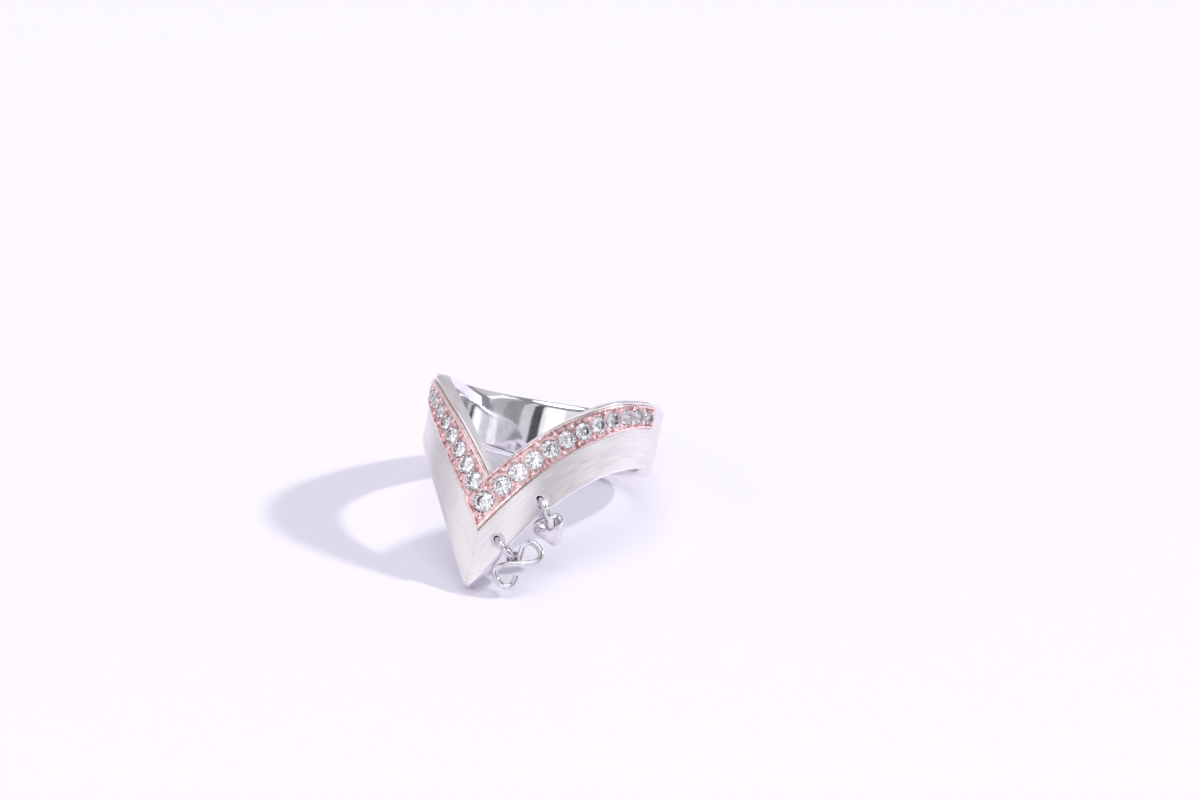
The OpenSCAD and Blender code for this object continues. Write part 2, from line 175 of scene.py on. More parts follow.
def laid(points):
    return (turned(points) - table) * mm


# Arc length along the strip's middle line gives the stones their places.
traceU = np.arange(stones["firstAt"], stones["traceTo"], stones["traceBy"])
traceStep = np.hypot(np.diff(traceU), np.diff(stripMiddle(traceU)))
traceLength = np.concatenate([[0], np.cumsum(traceStep)])
armSizes = np.linspace(stones["firstSize"], stones["lastSize"], stones["perArm"])
leftSizes = np.linspace(stones["firstSize"], stones["leftLastSize"], stones["perArm"])
armLengths = np.concatenate([[0], np.cumsum((armSizes[1:] + armSizes[:-1]) / 2 + stones["gap"])])
armU = np.interp(armLengths, traceLength, traceU)
stripEnd = float(np.interp(armLengths[-1] + armSizes[-1] / 2 + stones["gap"] + strip["railWidth"],
                           traceLength, traceU))
print("sizes worked out: strip ends", round(stripEnd, 3), "mm from the V")


def linear(hexColour):
    channels = [int(hexColour[i:i + 2], 16) / 255 for i in (1, 3, 5)]
    return [c / 12.92 if c <= 0.04045 else ((c + 0.055) / 1.055) ** 2.4 for c in channels] + [1]


def addNode(tree, kind, settings=None, links=None):
    node = tree.nodes.new(kind)
    for name, value in (settings or {}).items():
        if isinstance(name, int) or name in node.inputs:
            node.inputs[name].default_value = value
        else:
            setattr(node, name, value)
    for name, source in (links or {}).items():
        tree.links.new(source, node.inputs[name])
    return node


def newMaterial(name):
    material = bpy.data.materials.new(name)
    material.use_nodes = True
    material.node_tree.nodes.clear()
    return material, material.node_tree


def finishMaterial(tree, shader):
    addNode(tree, "ShaderNodeOutputMaterial", links={"Surface": shader.outputs[0]})


# Sterling silver, satin brushed along each arm: fine lines that blur reflections across them.
brushedSilver = {"colour": "#F8F5F3", "shade": "#E4E0E3", "roughness": 0.4,
                 # Real satin lines are finer than the 0.09 mm drawn here, and wouldn't show
                 "linePitch": 0.09, "lineLength": 2.2, "bump": 0.1, "bumpDepth": 0.02,
                 "patchAcross": 0.9, "patchAlong": 0.16, "lineShare": 0.7, "anisotropy": 0.25,
                 "stops": (0.36, 0.62), "spread": (-0.06, 0.08)}


def makeBrushedSilver():
    material, tree = newMaterial("silverSatinBrushed")
    uv = addNode(tree, "ShaderNodeUVMap", {"uv_map": "brush"})
    # U runs across the brushing and V along it, both in mm
    fine = (1 / brushedSilver["linePitch"], 1 / brushedSilver["lineLength"], 1)
    stretch = addNode(tree, "ShaderNodeMapping", {"Scale": fine}, {"Vector": uv.outputs[0]})
    lines = addNode(tree, "ShaderNodeTexNoise", {"Scale": 1.0, "Detail": 3.0, "Roughness": 0.62},
                    {"Vector": stretch.outputs[0]})
    wide = (brushedSilver["patchAcross"], brushedSilver["patchAlong"], 1)
    broad = addNode(tree, "ShaderNodeMapping", {"Scale": wide}, {"Vector": uv.outputs[0]})
    cloud = addNode(tree, "ShaderNodeTexNoise", {"Scale": 1.0, "Detail": 2.0},
                    {"Vector": broad.outputs[0]})
    both = addNode(tree, "ShaderNodeMath",
                   {"operation": "MULTIPLY_ADD", 1: brushedSilver["lineShare"], 2: 0.0},
                   {0: lines.outputs[0]})
    mixed = addNode(tree, "ShaderNodeMath",
                    {"operation": "MULTIPLY_ADD", 1: 1 - brushedSilver["lineShare"]},
                    {0: cloud.outputs[0], 2: both.outputs[0]})
    colour = addNode(tree, "ShaderNodeValToRGB", {}, {"Fac": mixed.outputs[0]})
    colour.color_ramp.elements[0].position = brushedSilver["stops"][0]
    colour.color_ramp.elements[0].color = linear(brushedSilver["shade"])
    colour.color_ramp.elements[1].position = brushedSilver["stops"][1]
    colour.color_ramp.elements[1].color = linear(brushedSilver["colour"])
    rough = addNode(tree, "ShaderNodeMapRange",
                    {"From Min": 0.3, "From Max": 0.7,
                     "To Min": brushedSilver["roughness"] + brushedSilver["spread"][0],
                     "To Max": brushedSilver["roughness"] + brushedSilver["spread"][1]},
                    {"Value": lines.outputs[0]})
    bump = addNode(tree, "ShaderNodeBump",
                   {"Strength": brushedSilver["bump"], "Distance": brushedSilver["bumpDepth"] * mm},
                   {"Height": lines.outputs[0]})
    tangent = addNode(tree, "ShaderNodeTangent", {"direction_type": "UV_MAP", "uv_map": "brush"})
    shader = addNode(tree, "ShaderNodeBsdfPrincipled",
                     {"Metallic": 1.0, "Anisotropic": brushedSilver["anisotropy"]},
                     {"Base Color": colour.outputs[0], "Roughness": rough.outputs[0],
                      "Normal": bump.outputs[0], "Tangent": tangent.outputs[0]})
    finishMaterial(tree, shader)
    return material


# Sterling silver, mirror polished: bright, with hairline wear that only softens glints.
polishedSilver = {"colour": "#F6F5F7", "dull": "#E9E7EC", "roughness": 0.04, "patch": 1.6}
# The charms and their rings are tumbled, which leaves the silver a shade greyer and softer.
tumbledSilver = {"colour": "#E8E6E9", "dull": "#D0CED4", "roughness": 0.09, "patch": 0.7}
# In both, where the wear's tones start and end, and how much rougher it gets
wearStops, wearSpread = (0.35, 0.6), 0.07


def makePolished(name, look):
    material, tree = newMaterial(name)
    place = addNode(tree, "ShaderNodeTexCoord")
    wear = addNode(tree, "ShaderNodeTexNoise",
                   {"Scale": 1 / (look["patch"] * mm), "Detail": 4.0},
                   {"Vector": place.outputs["Object"]})
    colour = addNode(tree, "ShaderNodeValToRGB", {}, {"Fac": wear.outputs[0]})
    colour.color_ramp.elements[0].position = wearStops[0]
    colour.color_ramp.elements[0].color = linear(look["dull"])
    colour.color_ramp.elements[1].position = wearStops[1]
    colour.color_ramp.elements[1].color = linear(look["colour"])
    rough = addNode(tree, "ShaderNodeMapRange",
                    {"From Min": 0.35, "From Max": 0.75, "To Min": look["roughness"],
                     "To Max": look["roughness"] + wearSpread}, {"Value": wear.outputs[0]})
    shader = addNode(tree, "ShaderNodeBsdfPrincipled", {"Metallic": 1.0},
                     {"Base Color": colour.outputs[0], "Roughness": rough.outputs[0]})
    finishMaterial(tree, shader)
    return material


# Rose gold plate, bright cut with a graver: a pale warm pink metal with small crisp facets.
roseGold = {"colour": "#FFE9E7", "deep": "#F3CBC8", "roughness": 0.13, "pattern": 0.2, "bump": 0.5}
# The floor between the stones and the foot of each rail are stippled and rougher. Their darker
# colour is painted shade for the groove under the rails and beads.
roseFloorPaintedShade = {"colour": "#FBDCDD", "deep": "#BC8C8D", "roughness": 0.3, "pattern": 0.12, "bump": 0.8}
# Both have the same soft patches of tone, and cuts or dots of the same depth, in mm
rosePatch, roseCutDepth = 0.4, 0.03
roseStops, roseSpread = (0.38, 0.56), (-0.05, 0.1)


def makeRose(name, look):
    material, tree = newMaterial(name)
    place = addNode(tree, "ShaderNodeTexCoord")
    cuts = addNode(tree, "ShaderNodeTexVoronoi",
                   {"feature": "F1", "Scale": 1 / (look["pattern"] * mm)},
                   {"Vector": place.outputs["Object"]})
    tone = addNode(tree, "ShaderNodeTexNoise", {"Scale": 1 / (rosePatch * mm), "Detail": 3.0},
                   {"Vector": place.outputs["Object"]})
    colour = addNode(tree, "ShaderNodeValToRGB", {}, {"Fac": tone.outputs[0]})
    colour.color_ramp.elements[0].position = roseStops[0]
    colour.color_ramp.elements[0].color = linear(look["deep"])
    colour.color_ramp.elements[1].position = roseStops[1]
    colour.color_ramp.elements[1].color = linear(look["colour"])
    spread = addNode(tree, "ShaderNodeMapRange",
                     {"From Min": 0.3, "From Max": 0.7,
                      "To Min": look["roughness"] + roseSpread[0],
                      "To Max": look["roughness"] + roseSpread[1]}, {"Value": tone.outputs[0]})
    bump = addNode(tree, "ShaderNodeBump",
                   {"Strength": look["bump"], "Distance": roseCutDepth * mm},
                   {"Height": cuts.outputs["Distance"]})
    shader = addNode(tree, "ShaderNodeBsdfPrincipled", {"Metallic": 1.0},
                     {"Base Color": colour.outputs[0], "Roughness": spread.outputs[0],
                      "Normal": bump.outputs[0]})
    finishMaterial(tree, shader)
    return material


# Colourless brilliants: clear, with the high index that breaks light up into black and white.
clearStone = {"colour": "#FFFFFF", "index": 2.4, "roughness": 0.0}


def makeClearStone():
    material, tree = newMaterial("brilliantCutClear")
    shader = addNode(tree, "ShaderNodeBsdfPrincipled",
                     {"Base Color": linear(clearStone["colour"]), "IOR": clearStone["index"],
                      "Roughness": clearStone["roughness"], "Transmission Weight": 1.0})
    finishMaterial(tree, shader)
    return material


satin = makeBrushedSilver()
mirror = makePolished("silverMirrorPolished", polishedSilver)
tumbled = makePolished("silverTumbled", tumbledSilver)
rose = makeRose("roseGoldBrightCut", roseGold)
# The stippled rose gold is rougher, and its darker colour is painted shade for the groove between
# the rails and stones
stippledPaintedShade = makeRose("roseGoldStippledPaintedShade", roseFloorPaintedShade)
clear = makeClearStone()
print("materials made")


def meshObject(name, points, faces, materials):
    mesh = bpy.data.meshes.new(name)
    mesh.from_pydata([tuple(p) for p in points], [], faces)
    mesh.validate()
    for m in materials:
        mesh.materials.append(m)
    obj = bpy.data.objects.new(name, mesh)
    bpy.context.scene.collection.objects.link(obj)
    return obj


def applied(obj):
    graph = bpy.context.evaluated_depsgraph_get()
    graph.update()
    mesh = bpy.data.meshes.new_from_object(obj.evaluated_get(graph), preserve_all_data_layers=True,
                                           depsgraph=graph)
    obj.modifiers.clear()
    obj.data = mesh
    return obj


def smoothed(obj, angle=32):
    obj.data.polygons.foreach_set("use_smooth", [True] * len(obj.data.polygons))
    obj.data.set_sharp_from_angle(angle=math.radians(angle))
    weighted = obj.modifiers.new("weighted", "WEIGHTED_NORMAL")
    weighted.keep_sharp = True
    return applied(obj)


def sweep(sections, closed):
    rows, columns = len(sections), len(sections[0])
    faces = []
    for i in range(rows if closed else rows - 1):
        a, b = i * columns, (i + 1) % rows * columns
        for j in range(columns):
            k = (j + 1) % columns
            faces.append((a + j, b + j, b + k, a + k))
    if not closed:
        faces.append(tuple(range(columns)))
        faces.append(tuple((rows - 1) * columns + j for j in range(columns - 1, -1, -1)))
    return faces


def ease(first, last, step):
    return np.linspace(first, last, max(2, int(math.ceil((last - first) / step)) + 1))


# Band: one closed skin swept round the finger, with the channel for the strip.
channelEnd = stripEnd + strip["gap"]
near = ease(0, channelEnd, band["fineStep"])[1:]
far = ease(channelEnd + band["endStep"], half, band["coarseStep"])
bandU = np.concatenate([[0], near, far, -far[-2::-1], -near[::-1]])
lowArc, topArc, softArc = (np.radians(np.linspace(0, 90, n)) for n in band["arcPoints"])


def bandSections():
    u = bandU
    low, top = lowHeight(u), topHeight(u)
    gap = strip["gap"] / np.cos(slopeOf(topHeight, u))
    start, stop = stripLow(u) - gap, stripTop(u) + gap
    depth = np.where(np.abs(u) < channelEnd + band["nearlyZero"], strip["sink"] + strip["gap"], 0)
    lowR, topR, bevel = band["lowRound"], band["topRound"], band["innerBevel"]
    # Inside, both edges are softened for comfort, more so round the back
    softFrom = np.array([[band["lowSoftFrom"]], [band["topSoftFrom"]]])
    share = np.clip((np.abs(u) - softFrom) / band["softRun"], 0, 1)
    share = share * share * (3 - 2 * share)
    deepLow, deep = bevel + (band["backSoft"][0] - bevel) * share
    tallLow, tall = bevel + (band["backSoft"][1] - bevel) * share
    bore, parts = band["boreRadius"], band["faceParts"]
    rows = [onBore(u, low + tallLow * (1 - np.cos(a)), bore + deepLow * (1 - np.sin(a)))
            for a in softArc[::-1]]
    rows += [onFace(u, low + lowR * (1 - np.cos(a)), lowR * (np.sin(a) - 1)) for a in lowArc]
    faceStart = len(rows) - 1
    rows += [onFace(u, low + lowR + (start - low - lowR) * k / parts) for k in range(1, parts)]
    rows += [onFace(u, start), onFace(u, start, -depth), onFace(u, stop, -depth), onFace(u, stop)]
    faceStop = len(rows)
    rows += [onFace(u, top - topR * (1 - np.sin(a)), topR * (np.cos(a) - 1)) for a in topArc]
    rows += [onBore(u, top - tall * (1 - np.cos(a)), bore + deep * (1 - np.sin(a)))
             for a in softArc]
    rows += [onBore(u, top - tall + (low + tallLow + tall - top) * k / parts, bore)
             for k in range(1, parts)]
    return np.stack(rows, 1), faceStart, faceStop


# Each hole has its place along the arm in mm and its swing from the low edge in degrees.
charmHoles = {"size": 1.25, "inFromEdge": 0.95, "infinity": (1.8, -6.0), "heart": (4.65, -17.0),
              "sides": 64, "drillReach": 2.5}


def holeFrame(hole):
    u, swing = charmHoles[hole]
    a = math.radians(float(facingAt(np.array(u))))
    slope = float(slopeOf(lowHeight, np.array(u)))
    z = float(lowHeight(np.array(u))) + charmHoles["inFromEdge"] / math.cos(slope)
    s = slope + math.radians(swing)
    out = Vector((math.sin(a), -math.cos(a), 0))
    along = Vector((math.cos(a) * math.cos(s), math.sin(a) * math.cos(s), math.sin(s)))
    return Vector(onFace(np.array(u), z)), out, along, along.cross(out)


def makeBand():
    sections, faceStart, faceStop = bandSections()
    rows, columns = sections.shape[:2]
    faces = sweep(sections, True)
    obj = meshObject("bandDressed", laid(sections.reshape(-1, 3)), faces, [satin, mirror])
    midLine = (lowHeight(bandU) + topHeight(bandU)) / 2
    order = np.argsort(bandU)
    along = np.zeros(rows)
    steps = np.hypot(np.diff(bandU[order]), np.diff(midLine[order]))
    along[order] = np.concatenate([[0], np.cumsum(steps)])
    height = (sections[:, :, 2] - lowHeight(bandU)[:, None])
    across = height / (topHeight(bandU) - lowHeight(bandU))[:, None] * band["brushWidth"]
    # The brushing goes on over the flat of the top edge, so it needs its own width there
    edgeStart = faceStop + len(topArc) - 1
    across[:, edgeStart + 1:] += band["outerRadius"] - band["boreRadius"]
    uv = obj.data.uv_layers.new(name="brush")
    loops = np.zeros(len(obj.data.loops), int)
    obj.data.loops.foreach_get("vertex_index", loops)
    row, column = loops // columns, loops % columns
    values = np.stack([across[row, column], along[row]], -1)
    # At the middle of the back the two arms meet, and the brushing runs on across
    lastRow = int(np.argmax(bandU))
    meets = (np.repeat(np.arange(len(faces)) // columns, 4) == lastRow) & (row == lastRow + 1)
    values[:, 1] = np.where(meets, along.max() + band["coarseStep"], values[:, 1])
    uv.data.foreach_set("uv", values.astype(np.float32).ravel())
    # The outside is satin but for the three faces of the channel
    satinColumns = [*range(faceStart, faceStop - 4), faceStop - 1, edgeStart]
    # Past the ends of the channel the whole outside is satin
    plain = np.minimum(np.abs(bandU), np.abs(np.roll(bandU, -1)))
    plain = plain > channelEnd + band["nearlyZero"]
    kind = [0 if j % columns in satinColumns
            or (plain[j // columns] and faceStart <= j % columns < faceStop) else 1
            for j in range(len(faces))]
    obj.data.polygons.foreach_set("material_index", kind)
    cutters = []
    for hole in ("infinity", "heart"):
        centre, out, runs, off = holeFrame(hole)
        count, reach = charmHoles["sides"], charmHoles["drillReach"]
        ring = [centre + (runs * math.cos(t) + off * math.sin(t)) * charmHoles["size"] / 2
                for t in np.linspace(0, 2 * math.pi, count, endpoint=False)]
        points = laid([list(p + out * n) for n in (-reach, reach) for p in ring])
        sides = [(k, k + count, (k + 1) % count + count, (k + 1) % count) for k in range(count)]
        ends = [tuple(range(count)), tuple(range(2 * count - 1, count - 1, -1))]
        cutters.append(meshObject("drill" + hole, points, sides + ends, [mirror]))
    for cutter in cutters:
        fixNormals(cutter)
        cut = obj.modifiers.new("drilled", "BOOLEAN")
        cut.operation, cut.solver, cut.object = "DIFFERENCE", "EXACT", cutter
        cut.material_mode = "TRANSFER"
    fixNormals(obj)
    applied(obj)
    for cutter in cutters:
        bpy.data.objects.remove(cutter)
    smoothed(obj)
    return obj


def fixNormals(obj):
    shape = bmesh.new()
    shape.from_mesh(obj.data)
    bmesh.ops.remove_doubles(shape, verts=shape.verts, dist=mergeWithin)
    bmesh.ops.recalc_face_normals(shape, faces=shape.faces)
    shape.to_mesh(obj.data)
    shape.free()


bandObject = makeBand()
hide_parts("band")
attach(bandObject, "root")
print("band made:", len(bandObject.data.polygons), "faces")


# Strip: floor between two bright rails, with a seat cut for each stone.
def stonePlaces():
    places = [(0.0, stones["apexHeight"], stones["apexSize"],
               riseAt(0.0) - stones["apexSize"] / 2 * math.tan(math.radians(band["armTurn"])), 0.0)]
    for arm, sizes in ((-1, leftSizes), (1, armSizes)):
        for u, size in zip(armU, sizes):
            places.append((arm * u, float(stripMiddle(arm * u)), size, float(riseAt(u)),
                           float(facingAt(np.array(arm * u)))))
    return places


def makeStrip():
    endRail = stripEnd - strip["railWidth"]
    inner = ease(0, endRail - strip["floorStep"], band["fineStep"])
    ends = np.array([endRail, stripEnd - strip["endStep"], stripEnd])
    u = np.concatenate([-ends[::-1], -inner[:0:-1], inner, ends])
    tilt = np.cos(slopeOf(topHeight, u))
    low, top = stripLow(u), stripTop(u)
    rise = riseAt(u)
    crown = rise + strip["railHeight"]
    bevel = strip["railWidth"] * strip["roundShare"]
    floor = np.where(np.abs(u) > endRail - band["nearlyZero"], crown, rise)
    endDrop = np.where(np.abs(u) > stripEnd - band["nearlyZero"], bevel, 0)
    rail = strip["railWidth"] / tilt
    soft, slant = bevel * strip["roundMiddle"], bevel * strip["railSlant"]
    rows = [onFace(u, top, -strip["sink"]), onFace(u, low, -strip["sink"]),
            onFace(u, low, crown - bevel - endDrop),
            onFace(u, low + soft / tilt, crown - soft - endDrop),
            onFace(u, low + bevel / tilt, crown - endDrop),
            onFace(u, low + rail - slant / tilt, crown - endDrop),
            onFace(u, low + rail + bevel / tilt, floor - endDrop),
            onFace(u, top - rail - bevel / tilt, floor - endDrop),
            onFace(u, top - rail + slant / tilt, crown - endDrop),
            onFace(u, top - bevel / tilt, crown - endDrop),
            onFace(u, top - soft / tilt, crown - soft - endDrop),
            onFace(u, top, crown - bevel - endDrop)]
    sections = np.stack(rows, 1)
    faces = sweep(sections, False)
    obj = meshObject("stripDressed", laid(sections.reshape(-1, 3)), faces, [rose, stippledPaintedShade, mirror])
    # The rows from rail to rail, the rails' inner feet and the floor between the stones, take the
    # stippled rose gold, whose darker colour is painted shade in the groove
    between = [j % len(rows) in (5, 6, 7) and j < (len(u) - 1) * len(rows)
               for j in range(len(faces))]
    obj.data.polygons.foreach_set("material_index", [int(b) for b in between])
    fixNormals(obj)
    points, faces = [], []
    sides = stones["seatSides"]
    for u, z, size, n, facing in stonePlaces():
        a = math.radians(facing)
        out, across = Vector((math.sin(a), -math.cos(a), 0)), Vector((math.cos(a), math.sin(a), 0))
        centre = Vector(onFace(np.array(u), z, n))
        depth = size / 2 * (stones["pavilion"] + stones["girdle"] / 2) + stones["seatGap"]
        base = len(points)
        for radius, height in ((size / 2 + stones["seatGap"], stones["seatReach"]),
                               (size / 2 + stones["seatGap"], -stones["girdle"] * size / 4),
                               (stones["seatGap"], -depth)):
            points += [list(centre + out * height
                            + (across * math.cos(t) + Vector((0, 0, 1)) * math.sin(t)) * radius)
                       for t in np.linspace(0, 2 * math.pi, sides, endpoint=False)]
        for level in (0, sides):
            faces += [(base + level + k, base + level + (k + 1) % sides,
                       base + level + sides + (k + 1) % sides, base + level + sides + k)
                      for k in range(sides)]
        faces += [tuple(base + k for k in range(sides)),
                  tuple(base + 2 * sides + k for k in range(sides - 1, -1, -1))]
    # The seats are bright white metal, so the stones above them stay white
    cutter = meshObject("seatCutter", laid(points), faces, [mirror])
    fixNormals(cutter)
    cut = obj.modifiers.new("seats", "BOOLEAN")
    cut.operation, cut.solver, cut.object = "DIFFERENCE", "EXACT", cutter
    cut.material_mode = "TRANSFER"
    applied(obj)
    bpy.data.objects.remove(cutter)
    smoothed(obj)
    return obj


stripObject = makeStrip()
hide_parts("pave_strip")
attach(stripObject, "root")
print("strip made:", len(stripObject.data.polygons), "faces")


# Beads: raised from the floor between the stones, one tree places them all.
beads = {
    "holdRadius": 0.19, "fillRadius": 0.12, "lift": 0.01, "smallest": 0.8, "seed": 7,
    # How far they keep from the rails, in their own radii, and from the last stone, in gaps
    "holdShare": 1.35, "fillShare": 0.9, "endShare": 0.6,
    # Round the large stone: place across and up from its middle, size in small beads
    "beside": ((0.62, 1.35, 1.3), (0.86, -0.42, 1.3)), "tipDrop": 0.33, "tipSize": 1.2,
}


def beadPoints():
    spots = []
    hold, fill = beads["holdRadius"], beads["fillRadius"]
    for arm in (-1, 1):
        for i in range(stones["perArm"]):
            if i == stones["perArm"] - 1:
                s = armLengths[i] + armSizes[i] / 2 + stones["gap"] * beads["endShare"]
            else:
                s = armLengths[i] + armSizes[i] / 2 + stones["gap"] / 2
            u = float(np.interp(s, traceLength, traceU))
            tilt = float(slopeOf(topHeight, np.array(arm * u)))
            reach = float(stripWidth(arm * u)) / 2 - strip["railWidth"]
            for side in (-1, 1):
                for off, radius in ((reach - hold * beads["holdShare"], hold),
                                    (reach - fill * beads["fillShare"], fill)):
                    z = float(stripMiddle(arm * u)) + side * off * math.cos(tilt)
                    spots.append((arm * (u - side * off * math.sin(tilt)), z, radius))
    apex, clearOf = stones["apexHeight"], stones["apexSize"] / 2 + hold
    spots.append((0.0, apex + clearOf, hold))
    spots.append((0.0, apex - clearOf, hold))
    spots.append((0.0, apex - clearOf - beads["tipDrop"], fill * beads["tipSize"]))
    for arm in (-1, 1):
        for across, up, size in beads["beside"]:
            spots.append((arm * across, apex + up, fill * size))
    return spots


def makeBeads():
    spots = beadPoints()
    places = [onFace(np.array(u), z, float(riseAt(u)) + beads["lift"]) for u, z, r in spots]
    obj = meshObject("beadsDressed", laid(np.array(places)), [], [rose])
    size = obj.data.attributes.new("size", "FLOAT", "POINT")
    size.data.foreach_set("value", [r * mm for u, z, r in spots])
    tree = bpy.data.node_groups.new("raisedBeads", "GeometryNodeTree")
    tree.interface.new_socket("Geometry", in_out="INPUT", socket_type="NodeSocketGeometry")
    smallest = tree.interface.new_socket("Smallest share", in_out="INPUT",
                                         socket_type="NodeSocketFloat")
    seed = tree.interface.new_socket("Seed", in_out="INPUT", socket_type="NodeSocketInt")
    tree.interface.new_socket("Geometry", in_out="OUTPUT", socket_type="NodeSocketGeometry")
    start = addNode(tree, "NodeGroupInput")
    ball = addNode(tree, "GeometryNodeMeshIcoSphere", {"Radius": 1.0, "Subdivisions": 3})
    named = addNode(tree, "GeometryNodeInputNamedAttribute",
                    {"data_type": "FLOAT", "Name": "size"})
    vary = addNode(tree, "FunctionNodeRandomValue", {"data_type": "FLOAT"},
                   {"Seed": start.outputs["Seed"]})
    tree.links.new(start.outputs["Smallest share"], vary.inputs[2])
    vary.inputs[3].default_value = 1.0
    scale = addNode(tree, "ShaderNodeMath", {"operation": "MULTIPLY"},
                    {0: named.outputs[0], 1: vary.outputs[1]})
    put = addNode(tree, "GeometryNodeInstanceOnPoints", {},
                  {"Points": start.outputs[0], "Instance": ball.outputs[0],
                   "Scale": scale.outputs[0]})
    real = addNode(tree, "GeometryNodeRealizeInstances", {}, {"Geometry": put.outputs[0]})
    smooth = addNode(tree, "GeometryNodeSetShadeSmooth", {}, {"Geometry": real.outputs[0]})
    painted = addNode(tree, "GeometryNodeSetMaterial", {"Material": rose},
                      {"Geometry": smooth.outputs[0]})
    addNode(tree, "NodeGroupOutput", links={"Geometry": painted.outputs[0]})
    grow = obj.modifiers.new("beads", "NODES")
    grow.node_group = tree
    grow[smallest.identifier] = beads["smallest"]
    grow[seed.identifier] = beads["seed"]
    return applied(obj)


beadObject = makeBeads()
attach(beadObject, "root")
print("beads made:", len(beadObject.data.polygons), "faces")


# Wires: one tree turns a path into round wire. It makes the jump rings and the infinity.
wires = {"jumpWire": 0.6, "jumpDiameter": 2.4, "jumpRise": 0.25, "jumpInset": 0.54 * 1.35,
         "bailWire": 0.32, "bailPlay": 0.06, "sides": 20, "points": 120, "bailPoints": 64}
infinity = {"length": 4.3, "width": 1.8, "wire": 0.5, "open": 20.0, "hang": 60.0, "stand": 0.58,
            "lift": 0.52, "points": 160, "blunt": 0.02}


def wireTree():
    tree = bpy.data.node_groups.new("roundWire", "GeometryNodeTree")
    tree.interface.new_socket("Geometry", in_out="INPUT", socket_type="NodeSocketGeometry")
    for name, kind in (("Wire radius", "NodeSocketFloat"), ("Sides", "NodeSocketInt"),
                       ("Finish", "NodeSocketMaterial")):
        tree.interface.new_socket(name, in_out="INPUT", socket_type=kind)
    tree.interface.new_socket("Geometry", in_out="OUTPUT", socket_type="NodeSocketGeometry")
    start = addNode(tree, "NodeGroupInput")
    path = addNode(tree, "GeometryNodeMeshToCurve", {}, {"Mesh": start.outputs[0]})
    named = addNode(tree, "GeometryNodeInputNamedAttribute",
                    {"data_type": "FLOAT", "Name": "share"})
    thick = addNode(tree, "GeometryNodeSetCurveRadius", {},
                    {"Curve": path.outputs[0], "Radius": named.outputs[0]})
    section = addNode(tree, "GeometryNodeCurvePrimitiveCircle", {},
                      {"Resolution": start.outputs["Sides"],
                       "Radius": start.outputs["Wire radius"]})
    wire = addNode(tree, "GeometryNodeCurveToMesh", {"Fill Caps": True},
                   {"Curve": thick.outputs[0], "Profile Curve": section.outputs[0]})
    smooth = addNode(tree, "GeometryNodeSetShadeSmooth", {}, {"Geometry": wire.outputs[0]})
    real = addNode(tree, "GeometryNodeRealizeInstances", {}, {"Geometry": smooth.outputs[0]})
    painted = addNode(tree, "GeometryNodeSetMaterial", {},
                      {"Geometry": real.outputs[0], "Material": start.outputs["Finish"]})
    addNode(tree, "NodeGroupOutput", links={"Geometry": painted.outputs[0]})
    return tree


roundWire = wireTree()


def makeWire(name, path, radius, closed, shares=None):
    points = np.array([list(p) for p in path])
    mesh = bpy.data.meshes.new(name)
    count = len(points)
    edges = [(k, (k + 1) % count) for k in range(count if closed else count - 1)]
    mesh.from_pydata([tuple(p) for p in points], edges, [])
    attribute = mesh.attributes.new("share", "FLOAT", "POINT")
    attribute.data.foreach_set("value", shares if shares is not None else [1.0] * count)
    obj = bpy.data.objects.new(name, mesh)
    bpy.context.scene.collection.objects.link(obj)
    grow = obj.modifiers.new("wire", "NODES")
    grow.node_group = roundWire
    inputs = {s.name: s.identifier for s in roundWire.interface.items_tree if s.in_out == "INPUT"}
    grow[inputs["Wire radius"]] = radius * mm
    grow[inputs["Sides"]] = wires["sides"]
    grow[inputs["Finish"]] = tumbled
    return applied(obj)


def joined(name, parts):
    shape = bmesh.new()
    for part in parts:
        shape.from_mesh(part.data)
    mesh = bpy.data.meshes.new(name)
    bmesh.ops.remove_doubles(shape, verts=shape.verts, dist=mergeWithin)
    bmesh.ops.recalc_face_normals(shape, faces=shape.faces)
    shape.to_mesh(mesh)
    shape.free()
    mesh.materials.append(tumbled)
    mesh.polygons.foreach_set("material_index", [0] * len(mesh.polygons))
    mesh.polygons.foreach_set("use_smooth", [True] * len(mesh.polygons))
    obj = bpy.data.objects.new(name, mesh)
    bpy.context.scene.collection.objects.link(obj)
    for part in parts:
        bpy.data.objects.remove(part)
    return obj


def jumpFrame(hole):
    centre, out, along, off = holeFrame(hole)
    radius = wires["jumpDiameter"] / 2
    middle = centre - out * wires["jumpInset"] + off * (radius - wires["jumpRise"])
    return middle, out, along, off, radius


def circle(middle, first, second, radius, count):
    return [middle + (first * math.cos(t) + second * math.sin(t)) * radius
            for t in np.linspace(0, 2 * math.pi, count, endpoint=False)]


def makeJumpRing(hole, name):
    middle, out, along, off, radius = jumpFrame(hole)
    path = laid([list(p) for p in circle(middle, out, off, radius, wires["points"])])
    return joined(name, [makeWire(name + "Wire", path, wires["jumpWire"] / 2, True)])


bailRadius = wires["jumpWire"] / 2 + wires["bailPlay"] + wires["bailWire"] / 2


